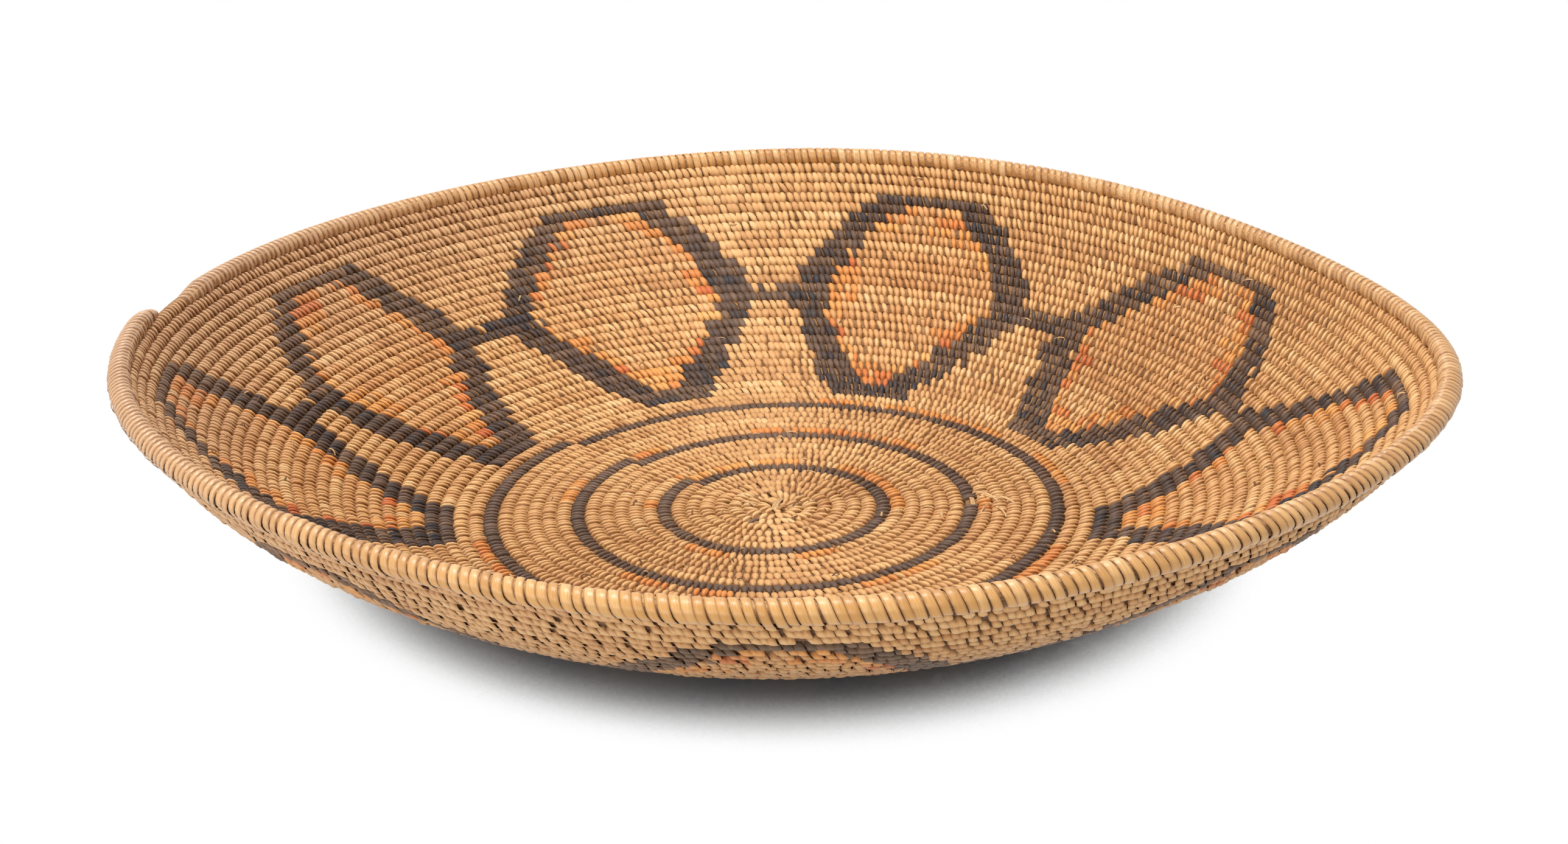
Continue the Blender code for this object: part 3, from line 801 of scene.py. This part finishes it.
def make_rim_wrap(stitches):
    chosen = stitches.is_rim
    turned = stitches.turned[chosen]
    half, height, rise = rim_section(turned)
    azimuth = azimuth_of(turned)
    sideways = np.cos(np.radians(azimuth)) ** 2
    shape = {
        "angles": RIM_LOOP_ANGLES,
        "half": half,
        "low": height / 2 + RIM_TAIL * half / RIM_HALF_THICKNESS,
        "up": height / 2,
        "rise": rise,
        "squareness": np.full(len(turned), RIM_SQUARENESS),
        "outer_squareness": RIM_SQUARENESS,
        "columns": RIM_COLUMN_SHARES,
        "drops": RIM_COLUMN_DROPS,
        "tapers": RIM_TAPER_SHARES,
        "slant": np.full(len(turned), INNER_SLANT),
        "outer_slant": RIM_SLANT,
        # Painted shade at the edges of the rim's splints, stronger at the tray's left and right
        "edge": np.minimum(stitches.relief[chosen], RIM_EDGE_SHADE + RIM_SIDE_EDGE_SHADE * sideways),
        "outer_edge_shade": RIM_OUTSIDE_EDGE_SHADE,
        "valley": np.zeros(len(turned)),
        # Painted sheen of reflection: the rim pales at the tray's left and right
        "worn_and_sheen": sideways * sided(azimuth, RIM_SHEEN_SHARES),
    }
    points, values = loops_of(stitches, chosen, shape)
    add_piece("rim_wrap", points, values, rim_splint, ["rim_coil"])


def make_all_stitches():
    stitches = Stitches()
    turn, dye = stitches.turn, stitches.dye
    # The natural stitches are four pieces, each from after one turn up to another
    floor_coils = ["start_knot", "centre_coils", "second_coils", "third_coils"]
    bands = (
        ("floor", 0, FLOOR_TURNS + 1, floor_coils),
        ("lower", FLOOR_TURNS + 1, LINK_TURN - 1, ["lower_wall_coils"]),
        ("middle", LINK_TURN - 1, MIDDLE_LAST_TURN, ["upper_wall_coils"]),
        ("upper", MIDDLE_LAST_TURN, RIM_TURN - 1, ["upper_wall_coils"]),
    )
    for band, after, last, nodes in bands:
        chosen = (dye == NATURAL) & (turn > after) & (turn <= last)
        name = f"natural_{band}_stitches"
        make_body_stitches(name, stitches, chosen, natural, nodes)
    petals = sorted(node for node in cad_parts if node.startswith("petal_"))
    dyed = (("dark", DARK, dark, petals), ("orange", ORANGE, orange, []))
    for colour, kind, material, more in dyed:
        nodes = [f"{place}_{colour}_ring" for place in ("inner", "middle", "outer")] + more
        name, slot = f"{colour}_stitches", f"{colour}_splints"
        make_body_stitches(name, stitches, dye == kind, material, nodes)
    make_rim_wrap(stitches)


def make_foundation():
    """The grass bundle under the stitches: one tube along the whole spiral."""
    step = np.clip(FOUNDATION_STEP_SHARE * FLOOR_PITCH * TURNED, *FOUNDATION_STEPS)
    marks = np.r_[0, np.cumsum(np.diff(LENGTH) / step[1:])]
    length = np.interp(np.arange(0, marks[-1]), marks, LENGTH)
    turned = np.interp(length, LENGTH, TURNED)
    turned = turned[turned < WRAP_END]
    on_rim = turned > RIM_TURN - 1
    rim_half, rim_height, rim_rise = rim_section(turned)
    body_half = WALL_HALF_THICKNESS - COVER_THICKNESS
    half = np.where(on_rim, rim_half - RIM_COVER_THICKNESS, body_half)
    reach = np.where(on_rim, rim_height, pitch_at(turned + 0.5)) / 2
    rise = np.where(on_rim, rim_rise - RIM_COVER_THICKNESS, 0.0)
    closing = np.ones(len(turned))
    closing[[0, -1]] = FOUNDATION_END_SHARE
    angle = np.linspace(0, 2 * math.pi, FOUNDATION_POINTS)
    aside = (reach * closing)[:, None, None] * np.sin(angle) + rise[:, None, None]
    height = (half * closing)[:, None, None] * np.cos(angle)
    points = placed(coil_frame(turned), np.zeros(1), aside, height)
    points[..., 2] = np.maximum(points[..., 2], FOUNDATION_LOWEST)
    chance = seeded.random(len(turned))
    drift = FOUNDATION_TONE + FOUNDATION_TONE_SPREAD * chance
    drift = drift + np.where(on_rim, FOUNDATION_RIM_TONE, 0.0)
    # Painted shade: the bundle is light on its inner face and darker round its sides and back
    steepness, shift = FOUNDATION_LIT_FACE
    shade = 0.5 + 0.5 * np.clip(np.cos(angle) * steepness + shift, -1, 1)
    values = {
        "tone": drift[:, None] * within((FOUNDATION_SHADED_SIDE_SHARE, 1), shade),
        "width_mm": 1000 * WALL_HALF_THICKNESS * angle,
        "loop_mm": 1000 * np.interp(turned, TURNED, LENGTH)[:, None],
    }
    points = points.reshape(1, len(turned), len(angle), 3)
    nodes = ["lower_wall_coils", "upper_wall_coils"]
    add_piece("foundation_coil", points, values, grass, nodes)


def make_loose_fibres():
    """Stray strands that lie on the inner face: the start's own, a frayed spot and small ends."""
    count = STRAY_COUNT
    strays = np.stack([
        seeded.integers(STRAY_FIRST_TURN, RIM_TURN - 1, count),
        seeded.uniform(-180, 180, count),
        seeded.normal(0, STRAY_DIRECTION_SPREAD, count),
        seeded.uniform(*STRAY_LENGTHS, count),
        seeded.uniform(*STRAY_WIDTHS, count),
        seeded.uniform(*STRAY_ARCHES, count),
        seeded.choice(STRAY_TONE_SHARES, count),
    ], -1)
    fibres = np.concatenate([np.array(FIBRES), strays])
    turned = fibres[:, 0] - 1 + ((COIL_END_AZIMUTH - fibres[:, 1]) % 360) / 360
    middle, along, across, inward = coil_frame(turned)
    aim = np.radians(fibres[:, 2])[:, None]
    forward = along * np.cos(aim) + across * np.sin(aim)
    sideways = across * np.cos(aim) - along * np.sin(aim)
    length, width, lift, tone = (fibres[:, index][:, None, None] for index in (3, 4, 5, 6))
    share = np.linspace(-0.5, 0.5, FIBRE_POINTS)[:, None]
    column = np.array([-0.5, 0.0, 0.5])
    arch = 1 - 4 * share**2 - FIBRE_FOLD_SHARE * np.abs(2 * column)
    height = FLOOR_HALF_THICKNESS - FIBRE_SINK + (lift + FIBRE_THICKNESS) * arch
    directions = (middle, forward, sideways, inward)
    points = placed(directions, length * share, width * column, height)
    values = {"tone": tone, "width_mm": 1000 * width * column, "loop_mm": 1000 * length * share}
    nodes = ["start_knot", "lower_wall_coils"]
    add_piece("loose_fibres", points, values, grass, nodes)


def screen_colour(red, green, blue):
    """A colour as the renderer takes it, from one as the screen shows it."""

    def linear(channel):
        share = channel / 255
        return share / 12.92 if share <= 0.04045 else ((share + 0.055) / 1.055) ** 2.4

    return (linear(red), linear(green), linear(blue), 1)


def grey(level):
    return (level, level, level, 1)


class Nodes:
    """Short calls for building a tree of shader nodes."""

    def __init__(self, tree):
        self.tree = tree

    def fill(self, node, inputs):
        """Set or link a node's inputs, given by name or number."""
        for socket, value in inputs.items():
            if isinstance(value, (int, float, tuple)):
                node.inputs[socket].default_value = value
            else:
                self.tree.links.new(value, node.inputs[socket])

    def add(self, kind, inputs, output, **settings):
        """Add a node, and give one of its outputs."""
        made = self.tree.nodes.new(kind)
        for key, value in settings.items():
            setattr(made, key, value)
        self.fill(made, inputs)
        return made.outputs[output]

    def attribute(self, name):
        return self.add("ShaderNodeAttribute", {}, "Fac", attribute_name=name)

    def maths(self, operation, first, second):
        return self.add("ShaderNodeMath", {0: first, 1: second}, 0, operation=operation)

    def mix(self, mode, share, first, second):
        """Mix two colours. A mix node has sockets of the same name for other kinds of value."""
        inputs = {0: share, 6: first, 7: second}
        return self.add("ShaderNodeMix", inputs, 2, data_type="RGBA", blend_type=mode)

    def mix_shaders(self, share, first, second):
        return self.add("ShaderNodeMixShader", {0: share, 1: first, 2: second}, 0)

    def noise(self, vector, scale):
        inputs = {"Vector": vector, "Scale": scale, "Detail": NOISE_DETAIL}
        return self.add("ShaderNodeTexNoise", inputs, "Fac")

    def ramp(self, value, stops):
        made = self.tree.nodes.new("ShaderNodeValToRGB")
        elements = made.color_ramp.elements
        while len(elements) < len(stops):
            elements.new(0.5)
        for element, (place, colour) in zip(elements, stops):
            element.position = place
            element.color = colour
        self.fill(made, {0: value})
        return made.outputs[0]

    def shade(self, colour, value, places, shades):
        """Multiply a colour by a shade that goes from the first to the second."""
        return self.mix("MULTIPLY", 1.0, colour, self.ramp(value, list(zip(places, shades))))


def new_material(name):
    material = bpy.data.materials.new(name)
    material.use_nodes = True
    return material, Nodes(material.node_tree)


def splint_material(name, colours, roughness, streak, outside_mix, outside_colour=OUTSIDE_COLOUR,
                    bump=0.5, wear_and_sheen=0.5, gloss=0.3):
    """Dried splints: each has its own tone, fibres that run along it and painted shade at its edges
    and ends.

    Streak is the fibres' darkest shade, outside_mix how much of outside_colour the outside takes
    (on the rim, painted shade), and wear_and_sheen how much the wall's worn side and the rim's
    painted sheen of reflection pale.
    """
    material, nodes = new_material(name)
    tone = nodes.attribute("tone")
    across, along, between_splints = FIBRE_SCALES
    grain = {
        "X": nodes.maths("MULTIPLY", nodes.attribute("width_mm"), across),
        "Y": nodes.maths("MULTIPLY", nodes.attribute("loop_mm"), along),
        "Z": nodes.maths("MULTIPLY", tone, between_splints),
    }
    fibres = nodes.noise(nodes.add("ShaderNodeCombineXYZ", grain, 0), 1.0)
    patches = nodes.noise(nodes.add("ShaderNodeTexCoord", {}, "Object"), PATCH_SCALE)
    # The outsides of the loops take some of a plain colour, which on the rim is painted shade
    outside_share = nodes.maths("MULTIPLY", nodes.attribute("outer"), outside_mix)
    # Wear pales the wall's left, and a painted sheen of reflection the rim's left and right
    worn_and_sheen = nodes.maths("MULTIPLY", nodes.attribute("worn_and_sheen"), wear_and_sheen)
    colour = nodes.ramp(tone, [(stop, screen_colour(*shown)) for stop, shown in colours])
    colour = nodes.mix("MIX", nodes.attribute("stain"), colour, screen_colour(*STAIN_COLOUR))
    colour = nodes.shade(colour, fibres, FIBRE_STOPS, (grey(streak), grey(1.0)))
    colour = nodes.shade(colour, patches, PATCH_STOPS, (PATCH_SHADE, grey(1.0)))
    colour = nodes.mix("MIX", outside_share, colour, screen_colour(*outside_colour))
    colour = nodes.mix("MIX", worn_and_sheen, colour, screen_colour(*WORN_AND_SHEEN_COLOUR))
    # Painted shade: the colour darkens towards the splints' edges and loop ends
    edge = nodes.attribute("edge")
    colour = nodes.shade(colour, edge, (PAINTED_SHADE_START, 1.0), (grey(1.0), EDGE_PAINTED_SHADE))
    smooth, rough = roughness
    height = {"Strength": bump, "Distance": FIBRE_HEIGHT, "Height": fibres}
    nodes.fill(nodes.tree.nodes["Principled BSDF"], {
        "Base Color": colour,
        "Roughness": nodes.add("ShaderNodeMapRange", {0: fibres, 3: smooth, 4: rough}, 0),
        "Specular IOR Level": gloss,
        "Normal": nodes.add("ShaderNodeBump", height, 0),
    })
    return material


def shown_by(nodes):
    """1 for the rays that show a background: the camera's, and those of gloss and glass."""
    path = nodes.tree.nodes.new("ShaderNodeLightPath")
    rays = path.outputs
    gloss = nodes.maths("MAXIMUM", rays["Is Glossy Ray"], rays["Is Transmission Ray"])
    return nodes.maths("MAXIMUM", rays["Is Camera Ray"], gloss)


def floor_material():
    """White, but for a painted shadow near the tray, which is a plain dark surface lit by the
    lamps.
    """
    material, nodes = new_material("white_floor")
    nodes.tree.nodes.remove(nodes.tree.nodes["Principled BSDF"])
    seen = nodes.add("ShaderNodeBsdfDiffuse", {"Color": FLOOR_SEEN}, 0)
    bounced = nodes.add("ShaderNodeBsdfDiffuse", {"Color": grey(FLOOR_BOUNCE)}, 0)
    white = nodes.add("ShaderNodeEmission", {}, 0)
    reach = {"Distance": SHADOW_REACH}
    sky = nodes.add("ShaderNodeAmbientOcclusion", reach, "AO", samples=SHADOW_SAMPLES)
    # Painted shadow: the floor turns from white to its dark shaded colour where the tray is near
    is_open = nodes.ramp(sky, list(zip(SHADOW_SHARES, (grey(0.0), grey(1.0)))))
    shown = nodes.mix_shaders(is_open, seen, white)
    surface = nodes.mix_shaders(shown_by(nodes), bounced, shown)
    nodes.fill(nodes.tree.nodes["Material Output"], {"Surface": surface})
    return material


def make_stage():
    size = FLOOR_HALF_WIDTH
    corners = [(-size, -size, 0), (size, -size, 0), (size, size, 0), (-size, size, 0)]
    mesh = bpy.data.meshes.new("floor")
    mesh.from_pydata(corners, [], [(0, 1, 2, 3)])
    floor = bpy.data.objects.new("floor", mesh)
    bpy.context.scene.collection.objects.link(floor)
    floor.data.materials.append(floor_material())


def make_lights():
    world = bpy.data.worlds.new("studio")
    bpy.context.scene.world = world
    world.use_nodes = True
    nodes = Nodes(world.node_tree)
    strength = {0: shown_by(nodes), 2: WORLD_STRENGTH, 3: 1.0}
    nodes.fill(world.node_tree.nodes["Background"], {
        "Color": grey(1.0),
        "Strength": nodes.add("ShaderNodeMix", strength, 0, data_type="FLOAT"),
    })
    for name, place, size, power in LAMPS:
        lamp = bpy.data.lights.new(name, "AREA")
        lamp.size = size
        lamp.energy = power
        made = bpy.data.objects.new(name, lamp)
        made.location = place
        made.rotation_euler = (-Vector(place)).to_track_quat("-Z", "Y").to_euler()
        bpy.context.scene.collection.objects.link(made)


def make_camera():
    elevation = math.radians(CAMERA_ELEVATION)
    pitch, yaw = math.radians(CAMERA_PITCH), math.radians(CAMERA_YAW)
    camera = bpy.data.objects.new("camera", bpy.data.cameras.new("camera"))
    camera.data.lens = CAMERA_LENS
    camera.data.sensor_width = CAMERA_SENSOR
    camera.data.clip_start = CAMERA_CLIP
    level = math.cos(pitch)
    forward = Vector((math.sin(yaw) * level, math.cos(yaw) * level, -math.sin(pitch)))
    camera.location = (
        START_X,
        START_Y - CAMERA_DISTANCE * math.cos(elevation),
        2 * FLOOR_HALF_THICKNESS + CAMERA_DISTANCE * math.sin(elevation),
    )
    camera.rotation_euler = forward.to_track_quat("-Z", "Y").to_euler()
    bpy.context.scene.collection.objects.link(camera)
    bpy.context.scene.camera = camera


natural = splint_material(
    "natural_splint", NATURAL_COLOURS, roughness=(0.36, 0.58), streak=0.80, outside_mix=0.35,
)
dark = splint_material(
    "dark_splint", DARK_COLOURS, roughness=(0.42, 0.62), streak=0.75, outside_mix=0.22, wear_and_sheen=0.2,
)
orange = splint_material(
    "orange_splint", ORANGE_COLOURS, roughness=(0.38, 0.58), streak=0.80, outside_mix=0.30, wear_and_sheen=0.3,
)
rim_splint = splint_material(
    # The rim's darker gold outside is painted shade on its lower side
    "rim_splint", RIM_COLOURS, roughness=(0.24, 0.42), streak=0.58, outside_mix=0.65,
    # On the rim, wear_and_sheen paints a pale sheen of reflection at the left and right
    outside_colour=RIM_OUTSIDE_SHADE_COLOUR, wear_and_sheen=0.75, gloss=0.5,
)
grass = splint_material(
    "foundation_grass", GRASS_COLOURS, roughness=(0.5, 0.7), streak=0.35, outside_mix=0.0, bump=1.0,
)

make_camera()
make_stage()
make_lights()
make_foundation()
make_all_stitches()
make_loose_fibres()
bpy.context.scene.view_settings.view_transform = "Standard"
